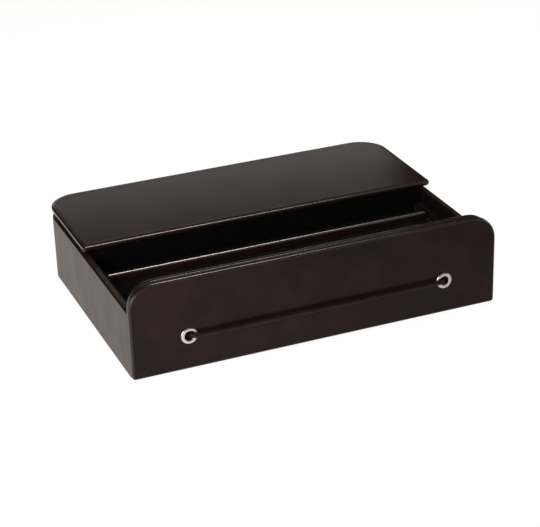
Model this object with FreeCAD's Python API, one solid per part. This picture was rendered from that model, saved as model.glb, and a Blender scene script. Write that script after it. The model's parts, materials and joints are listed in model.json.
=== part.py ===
"""Valet box: an open tray and a lidded compartment over a pull-out drawer.

Boards are fibreboard, covered in thin leather outside and in velvet inside. The row frame is
centred on the box: +X to the owner's right, -Y towards the owner, +Z up, z = 0 on the table.
All sizes are in millimetres.
"""
import FreeCAD, Part
import math
import os

V = FreeCAD.Vector

# ---- Sheet and board thicknesses ----
leather = 1.2            # outer leather
facing = 0.8             # thin leather on inner and rear faces
velvet = 0.8             # velvet sheet on floors
base_sheet = 1.0         # felt under the base
base_board_height = 3.0
wall_board = 5.0         # case walls
front_board = 3.2        # both front panels
floor_board = 3.0        # tray floor
lid_board_height = 3.2
drawer_wall = 4.0
drawer_front_wall = 5.0
drawer_bottom_height = 3.0
liner = 6.2              # velvet-covered boards inside the walls

# ---- Case ----
case_width = 299.6
case_depth = 212.3       # behind the drawer's front panel and its gap
wall_top = 54.0
case_corner = 24.5       # rear corners, in plan
wall_edge_radius = 2.0

# ---- Fronts ----
front_side_overhang = 0.2    # each end of the fronts beyond the case's side
front_top = 75.5
front_corner = 20.0      # top corners of both panels
front_foot_corner = 2.5
front_edge_radius = 2.0  # long outer edges: the moving front's face, the fixed front's rear
front_gap_edge_radius = 1.0      # edges on both sides of the gap
front_facing_inset = 3.0 # from a front's edge to the thin leather on its rear
front_underside = 0.5    # lowest edge of the moving front
front_gap = 0.3          # between the moving and the fixed front

# ---- Drawer ----
drawer_guide_width = 5.6
drawer_side_gap = 0.4
drawer_running_gap = 0.15
drawer_side_height = 26.0
drawer_front_height = 27.5
drawer_rear_gap = 8.8    # from the drawer's rear face to the back panel
drawer_back_rise = 0.5   # the rear wall stands above the front wall and meets the stop
opening_above = 0.5      # from the drawer's front wall to the head of the opening
bay_head_gap = 0.6       # from the opening's head to the tray floor board
glide_height = 0.6
glide_width = 12.0
glide_inset = 8.0        # from the drawer's side to the glide
stop_width = 80.0
stop_depth = 8.0
stop_height = 2.6
stop_from_front = 37.3   # from the case's front wall to the stop
stop_gap = 0.3

# ---- Tray and compartment ----
tray_liner_height = 6.7  # above the tray floor's velvet
divider_thickness = 4.0
rear_slot_depth = 16.7   # of the tray between the divider and the compartment
partition_thickness = 6.0
lid_front_to_partition = 2.0
lid_rest_gap = 0.3       # from the compartment's liner to the lid

# ---- Lid ----
lid_side_overhang = 0.1
lid_depth = 108.3
lid_gap = 3.3            # from the case's wall top to the underside of the lid
lid_back_overhang = 0.8
lid_turn_in = 3.0        # leather turned under the lid's edge
lid_edge_radius = 2.2
lid_lower_edge_radius = 2.2
lid_front_corner = 2.5   # in plan

# ---- Lid hinges ----
hinge_width = 30.0
hinge_from_side = 54.2   # from the case's side to each hinge's middle
hinge_leaf = 0.8
hinge_leaf_depth = 6.0
barrel_radius = 1.6
pin_radius = 0.8
pin_clearance = 0.05
knuckle_gap = 0.2
barrel_from_case = 0.2
leaf_relief = 2.1        # leaf edge to the barrel's axis beside the other leaf's knuckle
hinge_screw_spacing = 20.0
hinge_screw_radius = 0.9
hinge_screw_head_radius = 1.7
hinge_screw_length = 4.0
lid_screw_length = 3.0

# ---- Eyelets and pull cord ----
eyelet_from_side = 44.9  # from the front's end
eyelet_height = 28.4
eyelet_bore = 3.5
eyelet_outer = 6.6
eyelet_stand = 1.5       # above the leather
eyelet_rim = 1.4         # rounding of the flange's inner and outer rims
eyelet_wall = 0.5
washer_outer = 6.0
washer_height = 0.8
cord_radius = 1.7
cord_clearance = 0.1
cord_rise = 0.3          # of the cord's run above the eyelets' middle
knot_radius = 3.6
knot_length = 6.5
cord_hole_clearance = 0.3

# ---- Screws of the moving front ----
front_screw_from_side = 12.0     # from the drawer's side
front_screw_spacing = 80.0
front_screw_radius = 1.4
front_screw_head_radius = 2.8
front_screw_head_height = 1.4
front_screw_bite = 3.0   # into the front board
front_screw_height = 17.0

# ---- Turns, in degrees ----
quarter_turn = 90.0
full_turn = 360.0

# ---- Levels above the table ----
base_bottom = base_sheet
base_top = base_bottom + base_board_height
drawer_floor = base_top + glide_height + drawer_running_gap
drawer_front_top = drawer_floor + drawer_front_height
drawer_side_top = drawer_floor + drawer_side_height
drawer_back_top = drawer_front_top + drawer_back_rise
opening_head = drawer_front_top + opening_above
bay_head = opening_head + bay_head_gap
tray_board_top = bay_head + floor_board
tray_floor = tray_board_top + velvet
tray_liner_top = tray_floor + tray_liner_height
lid_bottom = wall_top + lid_gap
lid_thickness = leather + lid_board_height + facing
lid_top = lid_bottom + lid_thickness
liner_top = lid_bottom - lid_rest_gap

# ---- Thicknesses of built-up walls ----
front_thickness = leather + front_board + facing
wall_thickness = leather + wall_board + facing
cord_stand = eyelet_stand + cord_clearance + 2 * cord_radius

# ---- Front to back: the whole box, with cord and hinge barrels, is centred on y = 0 ----
barrel_overhang = barrel_from_case + 2 * barrel_radius
whole_depth = cord_stand + front_thickness + front_gap + case_depth + barrel_overhang
front_face = -whole_depth / 2 + cord_stand
front_back = front_face + front_thickness
case_front = front_back + front_gap
case_back = case_front + case_depth
fixed_front_back = case_front + front_thickness
lid_back = case_back + lid_back_overhang
lid_front = lid_back - lid_depth
partition_front = lid_front + lid_front_to_partition
partition_back = partition_front + partition_thickness
divider_back = partition_front - rear_slot_depth
divider_front = divider_back - divider_thickness
back_panel_front = case_back - leather - wall_board
drawer_back_outer = back_panel_front - drawer_rear_gap
drawer_back_inner = drawer_back_outer - drawer_wall
drawer_front_inner = front_back + drawer_front_wall

# ---- Side to side ----
case_half = case_width / 2
front_half = case_half + front_side_overhang
lid_half = case_half + lid_side_overhang
board_inner_half = case_half - leather - wall_board
inner_half = case_half - wall_thickness
tray_half = inner_half - liner
bay_half = board_inner_half - drawer_guide_width
drawer_half = bay_half - drawer_side_gap
hinge_offset = case_half - hinge_from_side
eyelet_offset = front_half - eyelet_from_side
outer_screw = drawer_half - front_screw_from_side
front_screw_offsets = (
    -outer_screw,
    -outer_screw + front_screw_spacing,
    outer_screw - front_screw_spacing,
    outer_screw,
)

# ---- Stop and travel ----
stop_front = fixed_front_back + stop_from_front
drawer_travel = drawer_back_inner - (stop_front + stop_depth) - stop_gap


def block(x0, x1, y0, y1, z0, z1):
    return Part.makeBox(x1 - x0, y1 - y0, z1 - z0, V(x0, y0, z0))


def mirrored(shape):
    """The same piece on the box's other side."""
    return shape.mirror(V(0, 0, 0), V(1, 0, 0))


def corner_arc(centre, radius, start_degrees, end_degrees):
    """A quarter arc in plan about centre."""
    middle = (start_degrees + end_degrees) / 2

    def point(degrees):
        turn = math.radians(degrees)
        return centre + V(radius * math.cos(turn), radius * math.sin(turn), 0)

    return Part.Arc(point(start_degrees), point(middle), point(end_degrees)).toShape()


def four_corner_outline(x0, x1, y0, y1, radii):
    """Rectangle in plan, its corners rounded: rear right, rear left, front left, front right."""
    rear_right, rear_left, front_left, front_right = radii
    corners = (
        (V(x1 - rear_right, y1 - rear_right, 0), rear_right),
        (V(x0 + rear_left, y1 - rear_left, 0), rear_left),
        (V(x0 + front_left, y0 + front_left, 0), front_left),
        (V(x1 - front_right, y0 + front_right, 0), front_right),
    )
    edges = []
    ends = []
    for index, (centre, radius) in enumerate(corners):
        if radius > 0:
            start = index * quarter_turn
            arc = corner_arc(centre, radius, start, start + quarter_turn)
            edges.append(arc)
            ends.append((arc.firstVertex().Point, arc.lastVertex().Point))
        else:
            edges.append(None)
            ends.append((centre, centre))
    outline = []
    for index in range(4):
        if edges[index] is not None:
            outline.append(edges[index])
        start = ends[index][1]
        end = ends[(index + 1) % 4][0]
        outline.append(Part.LineSegment(start, end).toShape())
    return Part.Wire(outline)


def plate(wire, z0, z1):
    face = Part.Face(wire)
    solid = face.extrude(V(0, 0, z1 - z0))
    solid.translate(V(0, 0, z0))
    return solid


def case_plate(inset, front, z0, z1):
    """Slab with the case's own outline, drawn in by inset at its sides and back."""
    radius = max(case_corner - inset, 0)
    half = case_half - inset
    wire = four_corner_outline(-half, half, front, case_back - inset, (radius, radius, 0, 0))
    return plate(wire, z0, z1)


def front_plate(half, z0, z1, corner, foot_corner, y0, y1):
    """Upright slab with rounded top corners, from y0 to y1."""
    wire = four_corner_outline(-half, half, z0, z1, (corner, corner, foot_corner, foot_corner))
    slab = plate(wire, 0, y1 - y0)
    slab.rotate(V(0, 0, 0), V(1, 0, 0), quarter_turn)
    slab.translate(V(0, y1, 0))
    return slab


def edges_at(solid, axis, value):
    """Edges that lie wholly in the plane axis = value."""
    low = axis + "Min"
    high = axis + "Max"
    chosen = []
    for edge in solid.Edges:
        box = edge.BoundBox
        if abs(getattr(box, low) - value) < 1e-4 and abs(getattr(box, high) - value) < 1e-4:
            chosen.append(edge)
    return chosen


def rod(radius, start, direction, length):
    return Part.makeCylinder(radius, length, start, direction)


def countersunk_screw(head_top, direction, radius, head_radius, length):
    """Countersunk screw whose head is flush at head_top and whose tip points along direction."""
    head_height = head_radius - radius
    head = Part.makeCone(head_radius, radius, head_height, head_top, direction)
    return head.fuse(rod(radius, head_top, direction, length)).removeSplitter()


def case_pieces():
    """The fixed box: base, walls, leather, fixed front, tray, compartment and drawer bay."""
    pieces = {}
    core_front = fixed_front_back
    felt_inset = 2 * leather
    pieces["base_felt"] = case_plate(felt_inset, case_front + felt_inset, 0, base_bottom)
    pieces["base_board"] = case_plate(leather, case_front + leather, base_bottom, base_top)

    board_top = wall_top - leather
    wall_ring = case_plate(leather, core_front, base_top, board_top)
    wall_ring = wall_ring.cut(case_plate(leather + wall_board, core_front, base_top, board_top))
    bend_y = case_back - case_corner
    bend_x = case_half - case_corner
    right_half_space = block(0, case_half, core_front, bend_y, base_top, board_top)
    pieces["right_side_panel"] = wall_ring.common(right_half_space)
    pieces["left_side_panel"] = mirrored(pieces["right_side_panel"])
    pieces["back_panel"] = wall_ring.common(block(-bend_x, bend_x, bend_y, case_back, base_top, board_top))
    corner = wall_ring.common(block(bend_x, case_half, bend_y, case_back, base_top, board_top))
    pieces["rear_corner_right"] = corner
    pieces["rear_corner_left"] = mirrored(corner)

    # Fixed front: a board with the drawer's opening, in a leather skin with a thin inner facing.
    skin_half = case_half - leather
    opening = block(-bay_half, bay_half, case_front, fixed_front_back, base_top + glide_height, opening_head)
    board_opening = block(
        -bay_half - leather, bay_half + leather, case_front, fixed_front_back, 0, opening_head + leather
    )
    board_y0 = case_front + leather
    board_y1 = board_y0 + front_board
    board = front_plate(
        skin_half - leather, base_top, front_top - leather, front_corner - leather, 0, board_y0, board_y1
    )
    pieces["front_wall_board"] = board.cut(board_opening)
    inner_facing = front_plate(
        skin_half - front_facing_inset, tray_board_top, front_top - front_facing_inset,
        front_corner - front_facing_inset, 0, board_y1, fixed_front_back,
    )
    side_trim = block(-inner_half, inner_half, board_y1, fixed_front_back, tray_board_top, front_top)
    upper_band = block(-skin_half, skin_half, board_y1, fixed_front_back, wall_top, front_top)
    pieces["front_wall_facing"] = inner_facing.common(side_trim.fuse(upper_band)).removeSplitter()
    skin = front_plate(skin_half, base_bottom, front_top, front_corner, 0, case_front, fixed_front_back)
    for face_y, radius in ((case_front, front_gap_edge_radius), (fixed_front_back, front_edge_radius)):
        upper_edges = [edge for edge in edges_at(skin, "Y", face_y) if edge.BoundBox.ZMax > wall_top]
        skin = skin.makeFillet(radius, upper_edges)
    skin = skin.cut(opening).cut(pieces["front_wall_board"]).cut(pieces["front_wall_facing"])
    pieces["front_wall_leather"] = skin.cut(pieces["base_board"])

    # Case leather: outer skin, turned over the wall tops and down the inner faces.
    outer = case_plate(0, case_front, base_bottom, wall_top)
    outer = outer.cut(case_plate(leather, case_front - leather, base_bottom, board_top))
    hollow = case_plate(wall_thickness, case_front - leather, board_top, wall_top)
    front_clear = block(-skin_half, skin_half, case_front - leather, core_front, base_bottom, wall_top)
    inner = case_plate(leather + wall_board, core_front, tray_board_top, board_top)
    inner = inner.cut(case_plate(wall_thickness, core_front - leather, tray_board_top, board_top))
    wrap = outer.cut(hollow).cut(front_clear).fuse(inner).removeSplitter()
    rounded = [e for e in edges_at(wrap, "Z", wall_top) if e.BoundBox.YMin > core_front - leather
               and e.BoundBox.YMax > core_front + leather]
    pieces["case_leather"] = wrap.makeFillet(wall_edge_radius, rounded)

    # Drawer bay: guides carry the tray floor, glides carry the drawer.
    bay_end = case_back - case_corner
    guide = block(bay_half, board_inner_half, core_front, bay_end, base_top, bay_head)
    pieces["drawer_guide_right"] = guide
    pieces["drawer_guide_left"] = mirrored(guide)
    glide_x = drawer_half - glide_inset
    glide = block(glide_x - glide_width, glide_x, core_front, bay_end, base_top, base_top + glide_height)
    pieces["drawer_glide_right"] = glide
    pieces["drawer_glide_left"] = mirrored(glide)
    pieces["tray_floor_board"] = case_plate(leather + wall_board, core_front, bay_head, tray_board_top)
    stop_half = stop_width / 2
    pieces["drawer_stop"] = block(
        -stop_half, stop_half, stop_front, stop_front + stop_depth, bay_head - stop_height, bay_head
    )

    # Tray: velvet floor, side liners and the leather-covered divider between them.
    pieces["tray_floor_velvet"] = case_plate(wall_thickness, core_front, tray_board_top, tray_floor)
    tray_liner = block(tray_half, inner_half, core_front, partition_front, tray_floor, tray_liner_top)
    pieces["tray_liner_right"] = tray_liner
    pieces["tray_liner_left"] = mirrored(tray_liner)
    divider_board = block(
        -tray_half, tray_half, divider_front + leather, divider_back - leather, tray_floor,
        tray_liner_top - leather,
    )
    divider = block(-tray_half, tray_half, divider_front, divider_back, tray_floor, tray_liner_top)
    divider = divider.makeFillet(leather, [e for e in edges_at(divider, "Z", tray_liner_top) if e.Length > tray_half])
    pieces["divider_board"] = divider_board
    pieces["divider_leather"] = divider.cut(divider_board)

    # Compartment under the lid: a ring of padded boards that the lid rests on.
    pieces["compartment_partition"] = block(
        -inner_half, inner_half, partition_front, partition_back, tray_floor, liner_top
    )
    room = case_plate(wall_thickness, partition_back, tray_floor, liner_top)
    side_band = block(tray_half, inner_half, partition_back, case_back, tray_floor, liner_top)
    rear_band = block(-tray_half, tray_half, case_back - wall_thickness - liner, case_back, tray_floor, liner_top)
    pieces["compartment_liner_right"] = room.common(side_band)
    pieces["compartment_liner_left"] = mirrored(pieces["compartment_liner_right"])
    pieces["compartment_liner_rear"] = room.common(rear_band)
    return pieces


def lid_pieces():
    """The flap over the rear compartment."""
    pieces = {}
    corner = case_corner + lid_half - case_half

    def slab(inset, z0, z1):
        radius = corner - inset
        front_radius = max(lid_front_corner - inset, 0)
        wire = four_corner_outline(
            -lid_half + inset, lid_half - inset, lid_front + inset, lid_back - inset,
            (radius, radius, front_radius, front_radius),
        )
        return plate(wire, z0, z1)

    board_z0 = lid_bottom + facing
    board_z1 = lid_top - leather
    pieces["lid_board"] = slab(leather, board_z0, board_z1)
    pieces["lid_lining"] = slab(lid_turn_in, lid_bottom, board_z0)
    shell = slab(0, lid_bottom, lid_top)
    shell = shell.makeFillet(lid_edge_radius, edges_at(shell, "Z", lid_top))
    shell = shell.makeFillet(lid_lower_edge_radius, edges_at(shell, "Z", lid_bottom))
    pieces["lid_leather"] = shell.cut(pieces["lid_board"]).cut(pieces["lid_lining"])
    return pieces


barrel_y = case_back + barrel_from_case + barrel_radius
barrel_z = (wall_top + lid_bottom) / 2


def hinge_pieces(side, centre_x):
    """A small butt hinge: a leaf on the wall top, a leaf under the lid and a pin."""
    half = hinge_width / 2
    third = hinge_width / 3
    leaf_front = barrel_y - leaf_relief - hinge_leaf_depth
    x0 = centre_x - half
    x1 = centre_x + half

    def knuckle(start, end):
        return rod(barrel_radius, V(start, barrel_y, barrel_z), V(1, 0, 0), end - start)

    def leaf(z0, knuckles):
        z1 = z0 + hinge_leaf
        shape = block(x0, x1, leaf_front, barrel_y - leaf_relief, z0, z1)
        for start, end in knuckles:
            shape = shape.fuse(block(start, end, barrel_y - leaf_relief, barrel_y, z0, z1))
            shape = shape.fuse(knuckle(start, end))
        return shape.removeSplitter()

    case_leaf = leaf(wall_top, ((x0, x0 + third), (x1 - third, x1)))
    lid_leaf = leaf(lid_bottom - hinge_leaf, ((x0 + third + knuckle_gap, x1 - third - knuckle_gap),))
    pin = rod(pin_radius, V(x0, barrel_y, barrel_z), V(1, 0, 0), hinge_width)
    bore = rod(pin_radius + pin_clearance, V(x0, barrel_y, barrel_z), V(1, 0, 0), hinge_width)
    screw_y = leaf_front + hinge_leaf_depth / 2
    case_screws = []
    lid_screws = []
    for offset in (-hinge_screw_spacing / 2, hinge_screw_spacing / 2):
        case_screws.append(countersunk_screw(
            V(centre_x + offset, screw_y, wall_top + hinge_leaf), V(0, 0, -1),
            hinge_screw_radius, hinge_screw_head_radius, hinge_screw_length))
        lid_screws.append(countersunk_screw(
            V(centre_x + offset, screw_y, lid_bottom - hinge_leaf), V(0, 0, 1),
            hinge_screw_radius, hinge_screw_head_radius, lid_screw_length))
    pieces = {
        "hinge_" + side + "_case_leaf": case_leaf.cut(pin).cut(Part.makeCompound(case_screws)),
        "hinge_" + side + "_lid_leaf": lid_leaf.cut(bore).cut(Part.makeCompound(lid_screws)),
        "hinge_" + side + "_pin": pin,
    }
    return pieces, case_screws, lid_screws


def eyelet_profile_ring(x, wall_back):
    """Eyelet turned about its own axis: a rolled flange outside and a barrel through the front."""
    outside = front_face - eyelet_stand
    flat_in = eyelet_bore + eyelet_rim
    flat_out = eyelet_outer - eyelet_rim
    points = {
        "bore_back": V(eyelet_bore, wall_back, 0),
        "bore_front": V(eyelet_bore, outside + eyelet_rim, 0),
        "inner_top": V(flat_in, outside, 0),
        "outer_top": V(flat_out, outside, 0),
        "outer_side": V(eyelet_outer, outside + eyelet_rim, 0),
        "outer_foot": V(eyelet_outer, front_face, 0),
        "barrel_front": V(eyelet_bore + eyelet_wall, front_face, 0),
        "barrel_back": V(eyelet_bore + eyelet_wall, wall_back, 0),
    }
    half_turn = math.sqrt(0.5)
    inner_mid = V(flat_in - eyelet_rim * half_turn, outside + eyelet_rim * (1 - half_turn), 0)
    outer_mid = V(flat_out + eyelet_rim * half_turn, outside + eyelet_rim * (1 - half_turn), 0)
    edges = [
        Part.LineSegment(points["bore_back"], points["bore_front"]).toShape(),
        Part.Arc(points["bore_front"], inner_mid, points["inner_top"]).toShape(),
        Part.LineSegment(points["inner_top"], points["outer_top"]).toShape(),
        Part.Arc(points["outer_top"], outer_mid, points["outer_side"]).toShape(),
        Part.LineSegment(points["outer_side"], points["outer_foot"]).toShape(),
        Part.LineSegment(points["outer_foot"], points["barrel_front"]).toShape(),
        Part.LineSegment(points["barrel_front"], points["barrel_back"]).toShape(),
        Part.LineSegment(points["barrel_back"], points["bore_back"]).toShape(),
    ]
    ring = Part.Face(Part.Wire(edges)).revolve(V(0, 0, 0), V(0, 1, 0), full_turn)
    ring.translate(V(x, 0, eyelet_height))
    return ring


def cord_route():
    """Corner points of the cord's middle line and the radius of each bend."""
    run_z = eyelet_height + cord_rise
    bend = eyelet_rim + cord_clearance + cord_radius
    run_y = front_face - eyelet_stand + eyelet_rim - bend
    turn_x = eyelet_offset - eyelet_bore - eyelet_rim + bend
    end_y = drawer_front_inner
    corners = [
        V(-turn_x, end_y, run_z),
        V(-turn_x, run_y, run_z),
        V(turn_x, run_y, run_z),
        V(turn_x, end_y, run_z),
    ]
    return corners, bend


def rounded_path(corners, radius):
    """Straight runs joined by tangent arcs of one radius at right-angled corners."""
    edges = []
    start = corners[0]
    for index in range(1, len(corners) - 1):
        corner = corners[index]
        into = (corner - corners[index - 1]).normalize()
        out = (corners[index + 1] - corner).normalize()
        arc_start = corner - into * radius
        arc_end = corner + out * radius
        centre = arc_start + out * radius
        middle = centre + (corner - centre).normalize() * radius
        edges.append(Part.LineSegment(start, arc_start).toShape())
        edges.append(Part.Arc(arc_start, middle, arc_end).toShape())
        start = arc_end
    edges.append(Part.LineSegment(start, corners[-1]).toShape())
    return Part.Wire(edges)


def cord_tube():
    corners, radius = cord_route()
    path = rounded_path(corners, radius)
    into = (corners[1] - corners[0]).normalize()
    section = Part.Wire(Part.makeCircle(cord_radius, corners[0], into))
    tube = path.makePipeShell([section], True, False)
    expected = math.pi * cord_radius ** 2 * path.Length
    print("cord length %.1f mm, bend radius %.1f mm, volume ratio %.4f"
          % (path.Length, radius, tube.Volume / expected))
    return tube


def knot(x, z):
    """A tight overhand knot as a plain barrel with rounded shoulders."""
    barrel = rod(knot_radius, V(x, drawer_front_inner, z), V(0, 1, 0), knot_length)
    shoulders = edges_at(barrel, "Y", drawer_front_inner) + edges_at(barrel, "Y", drawer_front_inner + knot_length)
    return barrel.makeFillet(knot_radius / 2, shoulders)


def drawer_pieces():
    """The drawer, its tall front panel, the eyelets and the pull cord."""
    pieces = {}
    board_y0 = front_face + leather
    board_y1 = board_y0 + front_board
    inner_half_width = front_half - leather
    inner_corner = front_corner - leather
    front = front_plate(
        front_half, front_underside, front_top, front_corner, front_foot_corner, front_face, front_back
    )
    front = front.makeFillet(front_edge_radius, edges_at(front, "Y", front_face))
    front = front.makeFillet(front_gap_edge_radius, edges_at(front, "Y", front_back))
    board_low = front_underside + leather
    board_high = front_top - leather
    foot_corner = front_foot_corner - leather
    board = front_plate(inner_half_width, board_low, board_high, inner_corner, foot_corner, board_y0, board_y1)
    backing = front_plate(
        front_half - front_facing_inset, front_underside + front_facing_inset, front_top - front_facing_inset,
        front_corner - front_facing_inset, 0, board_y1, front_back,
    )
    leather_skin = front.cut(board).cut(backing)

    box_x0 = -drawer_half
    box_x1 = drawer_half
    inner_x0 = box_x0 + drawer_wall
    inner_x1 = box_x1 - drawer_wall
    floor_top = drawer_floor + drawer_bottom_height
    inner_front = block(box_x0, box_x1, front_back, drawer_front_inner, drawer_floor, drawer_front_top)
    side = block(inner_x1, box_x1, drawer_front_inner, drawer_back_inner, drawer_floor, drawer_side_top)
    back = block(box_x0, box_x1, drawer_back_inner, drawer_back_outer, drawer_floor, drawer_back_top)
    pieces["drawer_side_right"] = side
    pieces["drawer_side_left"] = mirrored(side)
    pieces["drawer_back"] = back
    pieces["drawer_bottom"] = block(
        inner_x0, inner_x1, drawer_front_inner, drawer_back_inner, drawer_floor, floor_top
    )
    pieces["drawer_velvet"] = block(
        inner_x0, inner_x1, drawer_front_inner, drawer_back_inner, floor_top, floor_top + velvet
    )

    # Screws from inside the drawer into the front board.
    screws = []
    shank_length = drawer_front_wall + facing + front_screw_bite
    for x in front_screw_offsets:
        seat = V(x, drawer_front_inner, front_screw_height)
        head = rod(front_screw_head_radius, seat, V(0, 1, 0), front_screw_head_height)
        shank = rod(front_screw_radius, seat, V(0, -1, 0), shank_length)
        screws.append(head.fuse(shank).removeSplitter())
    screw_group = Part.makeCompound(screws)
    pieces["drawer_front_screws"] = screw_group

    # Eyelets through the front, their washers let into its back, and the knotted cord.
    corners, _ = cord_route()
    cord_x = corners[-1].x
    cord_z = corners[-1].z
    hole_radius = cord_radius + cord_hole_clearance
    washer_front = front_back - washer_height
    for name, sign in (("left", -1), ("right", 1)):
        x = sign * eyelet_offset
        ring = eyelet_profile_ring(x, front_back)
        washer_hole = V(x, washer_front, eyelet_height)
        washer = rod(washer_outer, washer_hole, V(0, 1, 0), washer_height)
        barrel_hole = rod(
            eyelet_bore + eyelet_wall, V(x, front_face, eyelet_height), V(0, 1, 0), front_thickness
        )
        leather_skin = leather_skin.cut(barrel_hole)
        board = board.cut(barrel_hole).cut(washer)
        backing = backing.cut(barrel_hole).cut(washer)
        pieces["eyelet_" + name] = ring
        pieces["eyelet_" + name + "_washer"] = washer.cut(barrel_hole)
        inner_front = inner_front.cut(
            rod(hole_radius, V(sign * cord_x, front_back, cord_z), V(0, 1, 0), drawer_front_wall)
        )
        pieces["cord_knot_" + name] = knot(sign * cord_x, cord_z)
    pieces["pull_cord"] = cord_tube()
    pieces["drawer_front_leather"] = leather_skin
    pieces["drawer_front_board"] = board.cut(screw_group)
    pieces["drawer_front_backing"] = backing.cut(screw_group)
    pieces["drawer_inner_front"] = inner_front.cut(screw_group)
    return pieces


def build():
    pieces = case_pieces()
    pieces.update(lid_pieces())
    case_screws = []
    lid_screws = []
    for side, centre_x in (("left", -hinge_offset), ("right", hinge_offset)):
        hinge, into_case, into_lid = hinge_pieces(side, centre_x)
        pieces.update(hinge)
        case_screws += into_case
        lid_screws += into_lid
    pieces["hinge_case_screws"] = Part.makeCompound(case_screws)
    pieces["hinge_lid_screws"] = Part.makeCompound(lid_screws)
    for name in ("case_leather", "back_panel"):
        pieces[name] = pieces[name].cut(pieces["hinge_case_screws"])
    for name in ("lid_lining", "lid_board"):
        pieces[name] = pieces[name].cut(pieces["hinge_lid_screws"])
    pieces.update(drawer_pieces())
    return pieces


os.makedirs("parts", exist_ok=True)
for name, shape in build().items():
    shape.exportStep("parts/" + name + ".step")
    box = shape.BoundBox
    print("%-24s solids %d valid %s x %.1f..%.1f y %.1f..%.1f z %.1f..%.1f" % (
        name, len(shape.Solids), shape.isValid(), box.XMin, box.XMax, box.YMin, box.YMax, box.ZMin, box.ZMax))
print("travel %.1f mm, hinge axis y %.2f z %.2f, front face y %.2f" % (drawer_travel, barrel_y, barrel_z, front_face))
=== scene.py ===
import json
import math

import bmesh
import bpy
from mathutils import Matrix, Vector, noise


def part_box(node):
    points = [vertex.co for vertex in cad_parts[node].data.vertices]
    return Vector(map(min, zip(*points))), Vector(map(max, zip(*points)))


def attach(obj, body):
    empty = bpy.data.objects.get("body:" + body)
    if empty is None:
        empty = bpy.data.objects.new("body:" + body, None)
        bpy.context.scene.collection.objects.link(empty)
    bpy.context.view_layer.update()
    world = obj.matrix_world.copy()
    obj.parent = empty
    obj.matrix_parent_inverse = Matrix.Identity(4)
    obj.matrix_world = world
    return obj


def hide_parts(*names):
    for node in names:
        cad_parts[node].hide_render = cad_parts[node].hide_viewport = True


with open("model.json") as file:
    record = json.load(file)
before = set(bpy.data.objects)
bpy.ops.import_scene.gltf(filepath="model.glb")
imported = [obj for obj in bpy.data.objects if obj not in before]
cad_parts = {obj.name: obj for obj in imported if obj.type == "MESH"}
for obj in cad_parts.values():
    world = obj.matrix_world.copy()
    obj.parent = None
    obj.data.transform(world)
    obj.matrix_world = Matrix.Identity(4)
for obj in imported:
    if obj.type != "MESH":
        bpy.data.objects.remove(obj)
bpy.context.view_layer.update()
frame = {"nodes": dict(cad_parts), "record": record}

# Valet box: brown leather over boards, black velvet inside, nickel eyelets and a leather cord.
# Lengths are in metres and MM turns millimetres into them.
MM = 0.001
WELD = 0.002 * MM        # points closer than this are one point
SAME_LEVEL = 0.01 * MM   # points this close in height lie on one face
SETTLING = 0.001 * MM    # points this close to a leather's face settle with it
SETTLING_WAVE = 38 * MM  # how far apart the leather's dips are
nodes = frame["nodes"]


# ---------------------------------------------------------------- materials

def srgb(hex_colour):
    """Linear colour of an sRGB hex value."""
    channels = [int(hex_colour[i:i + 2], 16) / 255 for i in (1, 3, 5)]
    linear = [c / 12.92 if c <= 0.04045 else ((c + 0.055) / 1.055) ** 2.4 for c in channels]
    return (*linear, 1.0)


def add(tree, kind, inputs=None, **settings):
    """Adds a node: settings are its own, inputs are sockets' values or the outputs that feed them."""
    node = tree.nodes.new(kind)
    for name, value in settings.items():
        setattr(node, name, value)
    for socket, value in (inputs or {}).items():
        if isinstance(value, bpy.types.NodeSocket):
            tree.links.new(value, node.inputs[socket])
        else:
            node.inputs[socket].default_value = value
    return node


def new_material(name, **surface):
    """An empty material with its Principled shader and the object's own coordinates."""
    material = bpy.data.materials.new(name)
    material.use_nodes = True
    tree = material.node_tree
    tree.nodes.clear()
    shader = add(tree, "ShaderNodeBsdfPrincipled", surface)
    add(tree, "ShaderNodeOutputMaterial", {"Surface": shader.outputs["BSDF"]})
    place = add(tree, "ShaderNodeTexCoord").outputs["Object"]
    return material, tree, shader, place


def blend_colours(tree, factor, low, high):
    """Colour between two hex colours."""
    mix = add(tree, "ShaderNodeMix", {"Factor": factor}, data_type="RGBA")
    mix.inputs[6].default_value = srgb(low)
    mix.inputs[7].default_value = srgb(high)
    return mix.outputs[2]


# How large the unevenness of each surface is, and how deep.
SKIN_WAVE = 14 * MM
POLISH_PATCH = 16 * MM
GRAIN_DEPTH = 0.12 * MM
PORE = 0.5 * MM
PORE_DEPTH = 0.05 * MM
BRUSHED_PATCH = 18 * MM
TUFT_DEPTH = 0.4 * MM
POLISHING_DEPTH = 0.02 * MM
FIBRE = 2.0 * MM
FIBRE_DEPTH = 0.08 * MM
NOISE_LOW = 0.3          # nearly all of a noise lies between these two
NOISE_HIGH = 0.7


def cloud(tree, place, size, detail):
    """Noise with patches of about a size."""
    return add(tree, "ShaderNodeTexNoise", {
        "Vector": place, "Scale": 1 / size, "Detail": detail}).outputs["Fac"]


def relief(tree, height, strength, depth, below=None):
    """Normal of a surface with a height on it, over the normal of the coarser one below."""
    inputs = {"Height": height, "Strength": strength, "Distance": depth}
    if below:
        inputs["Normal"] = below
    return add(tree, "ShaderNodeBump", inputs).outputs["Normal"]


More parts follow.
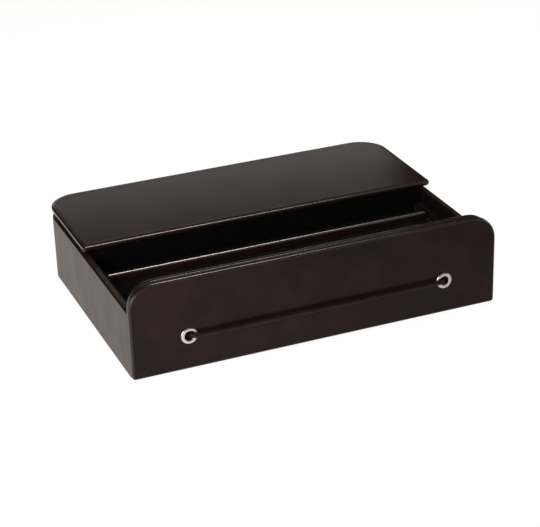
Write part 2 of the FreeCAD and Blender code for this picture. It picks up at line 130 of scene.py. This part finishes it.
def calf_leather(name, dark, light, roughness, grain_mm=1.5, gloss=0.15, wave_mm=0.03, drawn=(1, 1, 1),
                 mottle_mm=26, wax=0.0):
    """Smooth aniline calf: low sheen, faint pebbled grain, soft mottling and slight unevenness.

    gloss is its specular level, wave_mm how deep the skin's unevenness is, drawn the way it is
    stretched, mottle_mm the size of its lighter and darker patches, and wax how much it is waxed."""
    material, tree, shader, place = new_material(name, **{
        "IOR": 1.5, "Specular IOR Level": gloss, "Coat Weight": wax, "Coat Roughness": 0.3})
    pulled = add(tree, "ShaderNodeMapping", {"Vector": place, "Scale": drawn}).outputs["Vector"]
    shade = add(tree, "ShaderNodeMapRange", {
        "Value": cloud(tree, pulled, mottle_mm * MM, 4.0),
        "From Min": NOISE_LOW, "From Max": NOISE_HIGH})
    colour = blend_colours(tree, shade.outputs["Result"], dark, light)
    tree.links.new(colour, shader.inputs["Base Color"])
    rough = add(tree, "ShaderNodeMapRange", {
        "Value": cloud(tree, place, POLISH_PATCH, 1.0), "From Min": NOISE_LOW, "From Max": NOISE_HIGH,
        "To Min": roughness - 0.015, "To Max": roughness + 0.02})
    tree.links.new(rough.outputs["Result"], shader.inputs["Roughness"])
    # Grain cells are about a millimetre on real calf, drawn a little coarser so that they show.
    cells = add(tree, "ShaderNodeTexVoronoi", {"Vector": place, "Scale": 1 / (grain_mm * MM)},
                feature="SMOOTH_F1")
    wave = relief(tree, cloud(tree, pulled, SKIN_WAVE, 2.0), 1.0, wave_mm * MM)
    grain = relief(tree, cells.outputs["Distance"], 0.6, GRAIN_DEPTH, wave)
    fine = relief(tree, cloud(tree, place, PORE, 2.0), 0.5, PORE_DEPTH, grain)
    tree.links.new(fine, shader.inputs["Normal"])
    return material


def velvet_pile(name, dark, light, pile_mm=0.9):
    """Short cotton velvet: very dark, with a soft rim sheen and a brushed, uneven pile."""
    material, tree, shader, place = new_material(name, **{
        "Roughness": 1.0, "Specular IOR Level": 0.05, "Sheen Weight": 0.012, "Sheen Roughness": 0.45})
    colour = blend_colours(tree, cloud(tree, place, BRUSHED_PATCH, 3.0), dark, light)
    tree.links.new(colour, shader.inputs["Base Color"])
    tufts = cloud(tree, place, pile_mm * MM, 3.0)
    tree.links.new(relief(tree, tufts, 0.8, TUFT_DEPTH), shader.inputs["Normal"])
    return material


def polished_metal(name, colour, roughness, lay_mm=0.25):
    """Nickel plate: mirror-like, with faint polishing lines that spread its highlights."""
    material, tree, shader, place = new_material(name, **{
        "Metallic": 1.0, "Base Color": srgb(colour), "Roughness": roughness})
    lines = cloud(tree, place, lay_mm * MM, 2.0)
    rough = add(tree, "ShaderNodeMapRange", {
        "Value": lines, "To Min": roughness * 0.7, "To Max": roughness * 1.3})
    tree.links.new(rough.outputs["Result"], shader.inputs["Roughness"])
    tree.links.new(relief(tree, lines, 0.15, POLISHING_DEPTH), shader.inputs["Normal"])
    return material


def fibre_board(name, dark, light, roughness=0.8):
    """Fibreboard or its paper cover: matt, with short fibres a millimetre or two long."""
    material, tree, shader, place = new_material(
        name, **{"Roughness": roughness, "Specular IOR Level": 0.3})
    stretched = add(tree, "ShaderNodeMapping", {"Vector": place, "Scale": (1.0, 3.0, 3.0)})
    fibres = cloud(tree, stretched.outputs["Vector"], FIBRE, 5.0)
    tree.links.new(blend_colours(tree, fibres, dark, light), shader.inputs["Base Color"])
    tree.links.new(relief(tree, fibres, 0.5, FIBRE_DEPTH), shader.inputs["Normal"])
    return material


# Fronts and flap: near-black brown with a soft, even sheen.
LEATHER = calf_leather("espresso_calf_leather", "#130A08", "#1F110E", 0.24)
# Walls: the same calf, stretched round the corners, so less even and with upright patches.
WALL_LEATHER = calf_leather("calf_drawn_round_the_walls", "#150B09", "#2B1B16", 0.3, wave_mm=0.2,
                            drawn=(1, 1, 0.5), mottle_mm=12)
# Turned edges: pulled tight and rubbed smooth, they catch a bright line. Their colour, a shade darker
# than the faces', is painted shade for the dark line beside it.
BURNISHED_AND_SHADED = calf_leather("calf_pulled_tight_and_shaded_at_edges", "#130908", "#1B0F0C", 0.2, gloss=0.5)
# Divider: waxed where it is folded over, so it shines most of all.
FOLDED = calf_leather("calf_folded_over_the_divider", "#170C0A", "#20120F", 0.24, gloss=1.0, wax=1.0)
# Cord: round and matter, with a finer grain.
CORD_LEATHER = calf_leather("round_calf_cord", "#150B09", "#20120F", 0.34, grain_mm=0.9)
# Velvet swallows the light; the felt beneath the box is a shade greyer.
VELVET = velvet_pile("black_cotton_velvet", "#040303", "#080707")
FELT = velvet_pile("pressed_black_felt", "#0C0C0C", "#181818", pile_mm=1.6)
# Bright nickel eyelets, and greyer plated steel at the back.
NICKEL = polished_metal("polished_nickel_plate", "#DED4D2", 0.3)
HINGE_STEEL = polished_metal("nickel_plated_steel", "#B9B5AE", 0.3)
# Boards: black paper where they show in the drawer, bare brown fibre where they don't, pale glides.
BLACK_BOARD = fibre_board("black_paper_on_fibreboard", "#12100F", "#1D1A18", 0.7)
RAW_BOARD = fibre_board("raw_fibreboard", "#7A5C3E", "#94724F")
GLIDE = fibre_board("slick_polythene_strip", "#B5B4AE", "#C8C7C2", 0.4)

SLOT_MATERIALS = {
    "espresso_leather": LEATHER,
    "black_velvet": VELVET,
    "base_felt": FELT,
    "fibreboard": RAW_BOARD,
    "black_board": BLACK_BOARD,
    "polished_nickel": NICKEL,
    "plated_steel": HINGE_STEEL,
    "leather_cord": CORD_LEATHER,
    "glide_strip": GLIDE,
}
slot_of = {part["node"]: part["material_slot"] for part in frame["record"]["subparts"]}
for node_name, node_object in nodes.items():
    node_object.data.materials.clear()
    node_object.data.materials.append(SLOT_MATERIALS[slot_of[node_name]])
case_leather = nodes["case_leather"]
case_leather.data.materials[0] = WALL_LEATHER


# ---------------------------------------------------------------- pieces

def new_piece(name, mesh_builder, material, body, replaced=()):
    """Turns a bmesh into a piece that rides on its body and stands for CAD nodes."""
    bmesh.ops.remove_doubles(mesh_builder, verts=mesh_builder.verts, dist=WELD)
    bmesh.ops.recalc_face_normals(mesh_builder, faces=mesh_builder.faces)
    mesh = bpy.data.meshes.new(name)
    mesh_builder.to_mesh(mesh)
    mesh_builder.free()
    piece = bpy.data.objects.new(name, mesh)
    bpy.context.scene.collection.objects.link(piece)
    mesh.materials.append(material)
    finish_piece(piece, body, replaced)
    return piece


def finish_piece(piece, body, replaced=()):
    """Body and the CAD nodes that the piece stands for."""
    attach(piece, body)
    if replaced:
        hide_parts(*replaced)


def smooth(piece):
    """Smooth shading whose normals keep to the large flat faces."""
    for polygon in piece.data.polygons:
        polygon.use_smooth = True
    weighting = piece.modifiers.new("flat_faces_first", "WEIGHTED_NORMAL")
    weighting.keep_sharp = True


# How far a face leans towards a direction: below SIDE_ON it is side-on to it, above FLAT it faces it.
SIDE_ON = 0.08
FLAT = 0.985


def burnish_and_shade(piece, across):
    """Gives a piece's turned edges, where its leather is pulled tight, their glossier finish and a
    slightly darker colour, which is painted shade.
    """
    piece.data.materials.append(BURNISHED_AND_SHADED)
    for polygon in piece.data.polygons:
        if SIDE_ON < abs(polygon.normal.dot(across)) < FLAT:
            polygon.material_index = 1


def cut_away(piece, *cutters):
    """Cuts closed solids out of a piece and keeps the result as its mesh."""
    for cutter in cutters:
        modifier = piece.modifiers.new("cut", "BOOLEAN")
        modifier.operation = "DIFFERENCE"
        modifier.solver = "EXACT"
        modifier.object = cutter
    bpy.context.view_layer.update()
    evaluated = piece.evaluated_get(bpy.context.evaluated_depsgraph_get())
    mesh = bpy.data.meshes.new_from_object(evaluated)
    mesh.name = piece.name
    piece.modifiers.clear()
    piece.data = mesh


def cutter_of(mesh_builder):
    """A closed solid used only to cut with."""
    bmesh.ops.recalc_face_normals(mesh_builder, faces=mesh_builder.faces)
    mesh = bpy.data.meshes.new("cutter")
    mesh_builder.to_mesh(mesh)
    mesh_builder.free()
    cutter = bpy.data.objects.new("cutter", mesh)
    bpy.context.scene.collection.objects.link(cutter)
    return cutter


def discard(*cutters):
    """Removes cutters that have done their work."""
    for cutter in cutters:
        bpy.data.objects.remove(cutter)


def box_mesh(low, high):
    """A closed box between two corners."""
    builder = bmesh.new()
    size = Vector(high) - Vector(low)
    middle = (Vector(high) + Vector(low)) / 2
    bmesh.ops.create_cube(builder, size=1.0,
                          matrix=Matrix.Translation(middle) @ Matrix.Diagonal((*size, 1.0)))
    return builder


def drill(centre, radius, length, sides=48):
    """A round cutter along Y through centre."""
    builder = bmesh.new()
    turn = Matrix.Rotation(math.pi / 2, 4, "X")
    bmesh.ops.create_cone(builder, cap_ends=True, segments=sides, radius1=radius, radius2=radius,
                          depth=length, matrix=Matrix.Translation(centre) @ turn)
    return cutter_of(builder)


def corner_points(corner, radius, inset, sign, start, steps):
    """Arc of a rounded corner drawn in by inset; past its radius the corner is a mitre."""
    left = max(radius - inset, 0.0)
    depth = max(radius, inset)
    centre = corner[0] - sign[0] * depth, corner[1] - sign[1] * depth
    points = []
    for step in range(steps + 1):
        turn = math.radians(start + 90 * step / steps)
        points.append((centre[0] + left * math.cos(turn), centre[1] + left * math.sin(turn)))
    return points


def ring_points(limits, radii, inset, cells, steps):
    """Outline in plan with rounded corners, drawn in by inset, with as many points at every inset."""
    x0, x1, y0, y1 = limits
    corners = (((x1, y1), (1, 1)), ((x0, y1), (-1, 1)), ((x0, y0), (-1, -1)), ((x1, y0), (1, -1)))
    arcs = [corner_points(corner, radius, inset, sign, 90 * index, steps)
            for index, ((corner, sign), radius) in enumerate(zip(corners, radii))]
    points = []
    for index in range(4):
        points += arcs[index]
        start = Vector(arcs[index][-1])
        end = Vector(arcs[(index + 1) % 4][0])
        count = cells[index % 2]
        points += [tuple(start.lerp(end, step / count)) for step in range(1, count)]
    return points


def leather_slab(limits, radii, profile, place, cells, steps=10, give=0.0):
    """A board's leather from a profile of (inset, height) points, between its two inner flats.

    place turns (u, v, height) into a point; give is how far the face may settle unevenly."""
    builder = bmesh.new()
    rings = []
    for inset, height in profile:
        points = ring_points(limits, radii, inset, cells, steps)
        rings.append([builder.verts.new((u, v, height)) for u, v in points])
    for inner, outer in zip(rings, rings[1:]):
        for index in range(len(inner)):
            following = (index + 1) % len(inner)
            builder.faces.new((inner[index], inner[following], outer[following], outer[index]))
    x0, x1, y0, y1 = limits
    for inset, height in (profile[0], profile[-1]):
        grid = [[builder.verts.new((
            x0 + inset + (x1 - x0 - 2 * inset) * column / cells[0],
            y0 + inset + (y1 - y0 - 2 * inset) * row / cells[1], height))
            for column in range(cells[0] + 1)] for row in range(cells[1] + 1)]
        for low_row, high_row in zip(grid, grid[1:]):
            for column in range(cells[0]):
                builder.faces.new((low_row[column], low_row[column + 1],
                                   high_row[column + 1], high_row[column]))
    bmesh.ops.remove_doubles(builder, verts=builder.verts, dist=WELD)
    top = max(height for _, height in profile)
    for vertex in builder.verts:
        if give and vertex.co.z > top - SETTLING:
            swell = noise.noise(vertex.co / SETTLING_WAVE) * 0.5 + 0.5
            vertex.co.z -= give * min(max(swell, 0.0), 1.0)
        vertex.co = place(*vertex.co)
    return builder


RIM_STEPS = 6


def quarter_turns(steps):
    """Evenly spaced angles from nothing to a quarter turn."""
    return [math.pi / 2 * step / steps for step in range(steps + 1)]


def lower_rim(radius):
    """Edge profile from the lower face round to the side."""
    return [(radius * (1 - math.sin(turn)), radius * (1 - math.cos(turn)))
            for turn in quarter_turns(RIM_STEPS)]


def upper_rim(thickness, radius):
    """Edge profile from the side round onto the upper face."""
    return [(radius * (1 - math.cos(turn)), thickness - radius * (1 - math.sin(turn)))
            for turn in quarter_turns(RIM_STEPS)]


# The flap's upper edge: (tilt in degrees where a bend starts, where it ends, radius in millimetres).
PILLOW_BENDS = ((90, 30, 1.2), (30, 12, 3.5), (12, 0, 14.0))
PILLOW_STEPS = 4


def pillowed_edge(thickness):
    """Upper edge of the flap's leather: tight at the side, then falling away ever more gently."""
    points = [(0.0, 0.0)]
    for start, end, radius in PILLOW_BENDS:
        for step in range(PILLOW_STEPS):
            tilts = [math.radians(start + (end - start) * share / PILLOW_STEPS)
                     for share in (step, step + 1)]
            inset, height = points[-1]
            points.append((inset + radius * MM * (math.sin(tilts[0]) - math.sin(tilts[1])),
                           height + radius * MM * (math.cos(tilts[1]) - math.cos(tilts[0]))))
    rise = thickness - points[-1][1]
    return [(inset, height + rise) for inset, height in points]


def top_edges(builder, top):
    """A box's four upper edges."""
    return [edge for edge in builder.edges
            if all(vertex.co.z > top - SAME_LEVEL for vertex in edge.verts)]


def eased_board(node, radius, material, body, steps=3, only_top=False):
    """A covered board in its CAD node's place, with its edges eased."""
    low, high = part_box(node)
    builder = box_mesh(low, high)
    edges = top_edges(builder, high.z) if only_top else list(builder.edges)
    bmesh.ops.bevel(builder, geom=edges, offset=radius, segments=steps, profile=0.5, affect="EDGES",
                    clamp_overlap=True)
    piece = new_piece(node + "_covered", builder, material, body, (node,))
    smooth(piece)
    return piece


def turned(profile, centre, sides=64):
    """A ring or disc turned about Y: profile holds (radius, y) points of a closed section."""
    builder = bmesh.new()
    rings = []
    for radius, y in profile:
        ring = []
        for side in range(sides):
            turn = 2 * math.pi * side / sides
            ring.append(builder.verts.new(
                (centre.x + radius * math.cos(turn), y, centre.z + radius * math.sin(turn))))
        rings.append(ring)
    for index, ring in enumerate(rings):
        following = rings[(index + 1) % len(rings)]
        for side in range(sides):
            beside = (side + 1) % sides
            builder.faces.new((ring[side], ring[beside], following[beside], following[side]))
    return builder


def middle_of(node):
    """Middle of a CAD node's box."""
    low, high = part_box(node)
    return (low + high) / 2


# ---- Case leather: the CAD skin, glossier and a painted shade darker where it turns over the wall tops ----

UPWARDS = Vector((0, 0, 1))
FRONTWARDS = Vector((0, 1, 0))
INWARDS = -0.02          # a wall's face looks inwards when its normal leans past this share

burnish_and_shade(case_leather, UPWARDS)
# Faces turned towards the box's middle take the near-black velvet, so the walls' insides are near black
# right up to their tops.
case_leather.data.materials.append(VELVET)
for face in case_leather.data.polygons:
    if face.normal.xy.dot(face.center.xy) < INWARDS * abs(face.center.x):
        face.material_index = len(case_leather.data.materials) - 1

# ---- The two fronts: leather drawn round boards with rounded top corners ----

front_low, front_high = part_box("drawer_front_leather")
wall_low, wall_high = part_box("front_wall_leather")
FRONT_CORNER = 20 * MM
FRONT_FOOT = 2.5 * MM
FACE_EDGE = 2.0 * MM
GAP_EDGE = 1.0 * MM
FRONT_CELLS = (44, 8)    # faces along and across a front's flat
FRONT_GIVE = 0.12 * MM   # how far the leather settles unevenly
FACE_RINGS = (4 * MM, 8 * MM, 13 * MM)   # insets of the rings between a face's rim and its flat middle
EYELET_HOLE = 3.8 * MM
BORE_LENGTH = 20 * MM
OPENING_CLEARANCE = 0.5 * MM     # above the drawer's inner front
PAST_THE_WALL = 5 * MM   # how far the opening's cutter reaches on both sides


def upright(back_y):
    """Places a slab's plan upright: its height runs forwards from back_y."""
    return lambda u, v, height: Vector((u, back_y - height, v))


def flat_insets(height, first, last):
    """Rings from the rim to the flat middle of a face."""
    return [(inset, height) for inset in FACE_RINGS if first < inset < last] + [(last, height)]


thickness = front_high.y - front_low.y
front_profile = (flat_insets(0.0, GAP_EDGE, FRONT_CORNER)[::-1] + lower_rim(GAP_EDGE)
                 + upper_rim(thickness, FACE_EDGE) + flat_insets(thickness, FACE_EDGE, FRONT_CORNER))
drawer_front = new_piece(
    "drawer_front_wrap",
    leather_slab((front_low.x, front_high.x, front_low.z, front_high.z),
                 (FRONT_CORNER, FRONT_CORNER, FRONT_FOOT, FRONT_FOOT), front_profile,
                 upright(front_high.y), FRONT_CELLS, give=FRONT_GIVE),
    LEATHER, "drawer", ("drawer_front_leather",))
bore_holes = []
for side in ("left", "right"):
    middle = middle_of("eyelet_" + side)
    bore_holes.append(drill(Vector((middle.x, front_low.y, middle.z)), EYELET_HOLE, BORE_LENGTH))
burnish_and_shade(drawer_front, FRONTWARDS)
cut_away(drawer_front, nodes["drawer_front_board"], nodes["drawer_front_backing"], *bore_holes)
smooth(drawer_front)

thickness = wall_high.y - wall_low.y
wall_profile = (flat_insets(0.0, FACE_EDGE, FRONT_CORNER)[::-1] + lower_rim(FACE_EDGE)
                + upper_rim(thickness, GAP_EDGE) + flat_insets(thickness, GAP_EDGE, FRONT_CORNER))
front_wall = new_piece(
    "front_wall_wrap",
    leather_slab((wall_low.x, wall_high.x, wall_low.z, wall_high.z),
                 (FRONT_CORNER, FRONT_CORNER, 0.0, 0.0), wall_profile, upright(wall_high.y),
                 FRONT_CELLS),
    LEATHER, "case", ("front_wall_leather",))
guide_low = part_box("drawer_guide_right")[0]
drawer_low, drawer_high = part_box("drawer_inner_front")
drawer_opening = cutter_of(box_mesh(
    (-guide_low.x, wall_low.y - PAST_THE_WALL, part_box("drawer_glide_right")[1].z),
    (guide_low.x, wall_high.y + PAST_THE_WALL, drawer_high.z + OPENING_CLEARANCE)))
burnish_and_shade(front_wall, FRONTWARDS)
cut_away(front_wall, nodes["front_wall_board"], nodes["front_wall_facing"], nodes["base_board"],
         drawer_opening)
smooth(front_wall)
discard(*bore_holes, drawer_opening)

# ---- The flap: leather over a board, rounded at the rear ----

lid_low, lid_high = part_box("lid_leather")
LID_CORNER = 24.6 * MM
LID_EDGE = 3.0 * MM
LID_FRONT_CORNER = 2.5 * MM
LID_CELLS = (44, 14)
LID_GIVE = 0.15 * MM
thickness = lid_high.z - lid_low.z
upper_edge = pillowed_edge(thickness)
lid_profile = (flat_insets(0.0, LID_EDGE, LID_CORNER)[::-1] + lower_rim(LID_EDGE) + upper_edge
               + flat_insets(thickness, upper_edge[-1][0], LID_CORNER))
lid = new_piece(
    "lid_wrap",
    leather_slab((lid_low.x, lid_high.x, lid_low.y, lid_high.y),
                 (LID_CORNER, LID_CORNER, LID_FRONT_CORNER, LID_FRONT_CORNER), lid_profile,
                 lambda u, v, height: Vector((u, v, lid_low.z + height)), LID_CELLS, give=LID_GIVE),
    LEATHER, "lid", ("lid_leather",))
burnish_and_shade(lid, UPWARDS)
cut_away(lid, nodes["lid_board"], nodes["lid_lining"])
smooth(lid)

# ---- Divider: leather folded over a thin board ----

divider_low, divider_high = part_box("divider_leather")
builder = box_mesh(divider_low, divider_high)
# Just under half the divider's thickness, so that the fold is round all the way over.
FOLD_RADIUS = 1.95 * MM
bmesh.ops.bevel(builder, geom=top_edges(builder, divider_high.z), offset=FOLD_RADIUS, segments=8,
                profile=0.5, affect="EDGES")
divider = new_piece("divider_wrap", builder, FOLDED, "case", ("divider_leather",))
cut_away(divider, nodes["divider_board"])
smooth(divider)

# ---- Velvet-covered boards ----

BOARD_TOP_EDGE = 1.2 * MM
VELVET_SHEET_EDGE = 0.3 * MM
for node in ("tray_liner_left", "tray_liner_right", "compartment_partition", "compartment_liner_rear"):
    eased_board(node, BOARD_TOP_EDGE, VELVET, "case", only_top=True)
eased_board("drawer_velvet", VELVET_SHEET_EDGE, VELVET, "drawer")

# ---- Drawer box: fibreboard covered in black paper ----

PAPERED_EDGE = 0.35 * MM
CORD_HOLE = 2.0 * MM
CORD_HOLE_LENGTH = 30 * MM
for node in ("drawer_side_left", "drawer_side_right", "drawer_back", "drawer_bottom"):
    eased_board(node, PAPERED_EDGE, BLACK_BOARD, "drawer", steps=2)
inner_front = eased_board("drawer_inner_front", PAPERED_EDGE, BLACK_BOARD, "drawer", steps=2)
cord_holes = []
for side in ("left", "right"):
    middle = middle_of("cord_knot_" + side)
    cord_holes.append(drill(Vector((middle.x, drawer_low.y, middle.z)), CORD_HOLE, CORD_HOLE_LENGTH, 32))
inner_front.modifiers.clear()
cut_away(inner_front, *cord_holes)
smooth(inner_front)
discard(*cord_holes)

# ---- Eyelets: rolled nickel flange outside, straight barrel through the front ----

EYELET_BORE = 3.5 * MM
EYELET_ROLL = 1.4 * MM   # radius of the flange's inner and outer rims
EYELET_WALL = 0.5 * MM
EYELET_STEPS = 8

for side in ("left", "right"):
    node = "eyelet_" + side
    low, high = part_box(node)
    middle = (low + high) / 2
    outer = (high.x - low.x) / 2
    crest = low.y + EYELET_ROLL
    section = [(EYELET_BORE, high.y)]
    section += [(EYELET_BORE + EYELET_ROLL - EYELET_ROLL * math.cos(turn),
                 crest - EYELET_ROLL * math.sin(turn)) for turn in quarter_turns(EYELET_STEPS)]
    section += [(outer - EYELET_ROLL + EYELET_ROLL * math.sin(turn),
                 crest - EYELET_ROLL * math.cos(turn)) for turn in quarter_turns(EYELET_STEPS)]
    section += [(outer, front_low.y), (EYELET_BORE + EYELET_WALL, front_low.y),
                (EYELET_BORE + EYELET_WALL, high.y)]
    ring = new_piece("eyelet_" + side + "_rolled", turned(section, middle), NICKEL, "drawer",
                     (node,))
    smooth(ring)

# ---- Knots: the cord's ends wound round themselves ----

CORD_RADIUS = 1.7 * MM
KNOT_TURNS = 1.75
KNOT_POINTS = 22
LEAD_IN = 0.8            # straight start out of the hole, as a share of the cord's radius

for side in ("left", "right"):
    node = "cord_knot_" + side
    low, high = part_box(node)
    middle = (low + high) / 2
    curve = bpy.data.curves.new("cord_knot_" + side + "_wound", "CURVE")
    curve.dimensions = "3D"
    curve.bevel_depth = CORD_RADIUS
    curve.bevel_resolution = 6
    curve.resolution_u = 8
    curve.use_fill_caps = True
    spline = curve.splines.new("NURBS")
    last = high.y - CORD_RADIUS
    first = low.y + CORD_RADIUS
    around = (high.x - low.x) / 2 - CORD_RADIUS
    points = [(middle.x, low.y, middle.z), (middle.x, low.y + LEAD_IN * CORD_RADIUS, middle.z)]
    for step in range(KNOT_POINTS):
        share = step / (KNOT_POINTS - 1)
        turn = 2 * math.pi * KNOT_TURNS * share
        points.append((middle.x + around * math.cos(turn), first + (last - first) * share,
                       middle.z + around * math.sin(turn)))
    spline.points.add(len(points) - 1)
    for point, place in zip(spline.points, points):
        point.co = (*place, 1.0)
    spline.order_u = 3
    spline.use_endpoint_u = True
    knot = bpy.data.objects.new("cord_knot_" + side + "_wound", curve)
    bpy.context.scene.collection.objects.link(knot)
    curve.materials.append(CORD_LEATHER)
    finish_piece(knot, "drawer", (node,))


# ---------------------------------------------------------------- camera, light and floor

camera = bpy.data.objects.new("studio_camera", bpy.data.cameras.new("studio_camera"))
bpy.context.scene.collection.objects.link(camera)
camera.location = (-0.46872, -1.18036, 0.62466)
camera.rotation_euler = [math.radians(a) for a in (64.4663, 1.6444, -22.6112)]
camera.data.lens = 116.015
camera.data.sensor_width = 36.0
camera.data.clip_start = 0.05
camera.data.clip_end = 50.0
bpy.context.scene.camera = camera
bpy.context.scene.view_settings.view_transform = "Standard"


def softbox(name, place, aim, width, height, power, colour="#FFFFFF", mirrored=True):
    """A rectangular studio softbox aimed at a point; one that isn't mirrored leaves no glint on metal."""
    data = bpy.data.lights.new(name, "AREA")
    data.shape = "RECTANGLE"
    data.size = width
    data.size_y = height
    data.energy = power
    data.color = srgb(colour)[:3]
    light = bpy.data.objects.new(name, data)
    bpy.context.scene.collection.objects.link(light)
    light.location = place
    light.visible_camera = False
    light.visible_glossy = mirrored
    light.rotation_euler = (Vector(aim) - Vector(place)).to_track_quat("-Z", "Y").to_euler()


softbox("overhead_softbox", (0.27, 0.18, 1.35), (0, 0, 0.05), 0.46, 0.46, 9.5, "#FFF1E8")
softbox("front_softbox", (-0.6, -0.78, 0.45), (0, -0.1, 0.04), 0.4, 0.3, 9, mirrored=False)
softbox("left_softbox", (-1.3, -0.35, 0.5), (-0.1, 0, 0.03), 0.7, 0.6, 8, "#FFECDA")
softbox("rear_strip", (0.085, 0.46, 0.175), (0.03, 0.05, 0.06), 0.49, 0.12, 0.21, "#FFF9F6")


def black_flag(name, place, aim, width, height):
    """A black card out of frame that keeps stray white out of the leather's reflections."""
    mesh = bpy.data.meshes.new(name)
    half_w = width / 2
    half_h = height / 2
    mesh.from_pydata([(-half_w, -half_h, 0), (half_w, -half_h, 0),
                      (half_w, half_h, 0), (-half_w, half_h, 0)], [], [(0, 1, 2, 3)])
    card = bpy.data.objects.new(name, mesh)
    bpy.context.scene.collection.objects.link(card)
    card.location = place
    card.rotation_euler = (Vector(aim) - Vector(place)).to_track_quat("-Z", "Y").to_euler()
    card.visible_camera = False
    mesh.materials.append(FLAG_CLOTH)


FLAG_CLOTH = new_material("black_flag_cloth", **{
    "Base Color": srgb("#050505"), "Roughness": 1.0, "Specular IOR Level": 0.0})[0]
black_flag("rear_flag", (0.0, 0.95, 0.39), (0, 0, 0.32), 2.4, 0.66)

seen_directly = ("Is Camera Ray", "Is Glossy Ray", "Is Transmission Ray")


def seen_or_mirrored(tree):
    """1 for camera, glossy and transmission rays, 0 for light that is scattered."""
    path = add(tree, "ShaderNodeLightPath")
    first = add(tree, "ShaderNodeMath",
                {0: path.outputs[seen_directly[0]], 1: path.outputs[seen_directly[1]]},
                operation="MAXIMUM")
    both = add(tree, "ShaderNodeMath", {0: first.outputs[0], 1: path.outputs[seen_directly[2]]},
               operation="MAXIMUM")
    return both.outputs[0]


CEILING_STARTS = 0.1     # heights of the view's direction between which the white walls fall off
CEILING_ENDS = 0.6
CEILING_LIGHT = 0.12
ROOM_LIGHT = 0.35        # what the room scatters onto the box
PAPER = (0.8, 0.8, 0.8, 1)
PAPER_SHADOW = (0.12, 0.12, 0.12, 1)     # keeps the box's shadow on paper that is otherwise lit white
PAPER_LIGHT = 0.92
# Painted reflection: the leather mirrors the paper at MIRRORED_NEAR on the left, dimming to MIRRORED_FAR
# towards the front right, as if the lamps' light fell off there.
MIRRORED_NEAR = 0.87     # the paper as the leather mirrors it, on the left and far to the front right
MIRRORED_FAR = 0.35
FALL_OFF_STARTS = 0.05   # metres of x less y, which grows towards the front right
FALL_OFF_ENDS = 0.45

world = bpy.data.worlds.new("white_studio")
world.use_nodes = True
bpy.context.scene.world = world
sky = world.node_tree
sky.nodes.clear()
toward = add(sky, "ShaderNodeTexCoord")
height = add(sky, "ShaderNodeSeparateXYZ", {0: toward.outputs["Generated"]})
ceiling = add(sky, "ShaderNodeMapRange", {
    "Value": height.outputs["Z"], "From Min": CEILING_STARTS, "From Max": CEILING_ENDS,
    "To Min": 1.0, "To Max": CEILING_LIGHT})
white = add(sky, "ShaderNodeBackground", {"Color": (1, 1, 1, 1), "Strength": ceiling.outputs[0]})
room = add(sky, "ShaderNodeBackground", {"Color": (1, 1, 1, 1), "Strength": ROOM_LIGHT})
choice = add(sky, "ShaderNodeMixShader",
             {0: seen_or_mirrored(sky), 1: room.outputs[0], 2: white.outputs[0]})
add(sky, "ShaderNodeOutputWorld", {"Surface": choice.outputs[0]})

floor_mesh = bpy.data.meshes.new("paper_floor")
half_floor = 6.0
floor_mesh.from_pydata(
    [(-half_floor, -half_floor, 0), (half_floor, -half_floor, 0), (half_floor, half_floor, 0),
     (-half_floor, half_floor, 0)], [], [(0, 1, 2, 3)])
floor = bpy.data.objects.new("paper_floor", floor_mesh)
bpy.context.scene.collection.objects.link(floor)
paper = bpy.data.materials.new("white_paper_floor")
paper.use_nodes = True
tree = paper.node_tree
tree.nodes.clear()
matt = add(tree, "ShaderNodeBsdfDiffuse", {"Color": PAPER})
faint = add(tree, "ShaderNodeBsdfDiffuse", {"Color": PAPER_SHADOW})
mirrored = add(tree, "ShaderNodeLightPath").outputs["Is Glossy Ray"]
# Painted reflection: glossy rays see the paper a touch warmer than the eye does, and darker towards the
# front right.
painted_warm_reflection = blend_colours(tree, mirrored, "#FFFFFF", "#FFF8F2")
across = add(tree, "ShaderNodeVectorMath", {
    0: add(tree, "ShaderNodeNewGeometry").outputs["Position"], 1: (1, -1, 0)}, operation="DOT_PRODUCT")
painted_reflection_fall_off = add(tree, "ShaderNodeMapRange", {
    "Value": across.outputs["Value"], "From Min": FALL_OFF_STARTS, "From Max": FALL_OFF_ENDS,
    "To Min": MIRRORED_NEAR, "To Max": MIRRORED_FAR})
shine = add(tree, "ShaderNodeMix", {0: mirrored, 2: PAPER_LIGHT, 3: painted_reflection_fall_off.outputs[0]})
glow = add(tree, "ShaderNodeEmission", {"Color": painted_warm_reflection, "Strength": shine.outputs[0]})
lit = add(tree, "ShaderNodeAddShader", {0: faint.outputs[0], 1: glow.outputs[0]})
choice = add(tree, "ShaderNodeMixShader",
             {0: seen_or_mirrored(tree), 1: matt.outputs[0], 2: lit.outputs[0]})
add(tree, "ShaderNodeOutputMaterial", {"Surface": choice.outputs[0]})
floor_mesh.materials.append(paper)
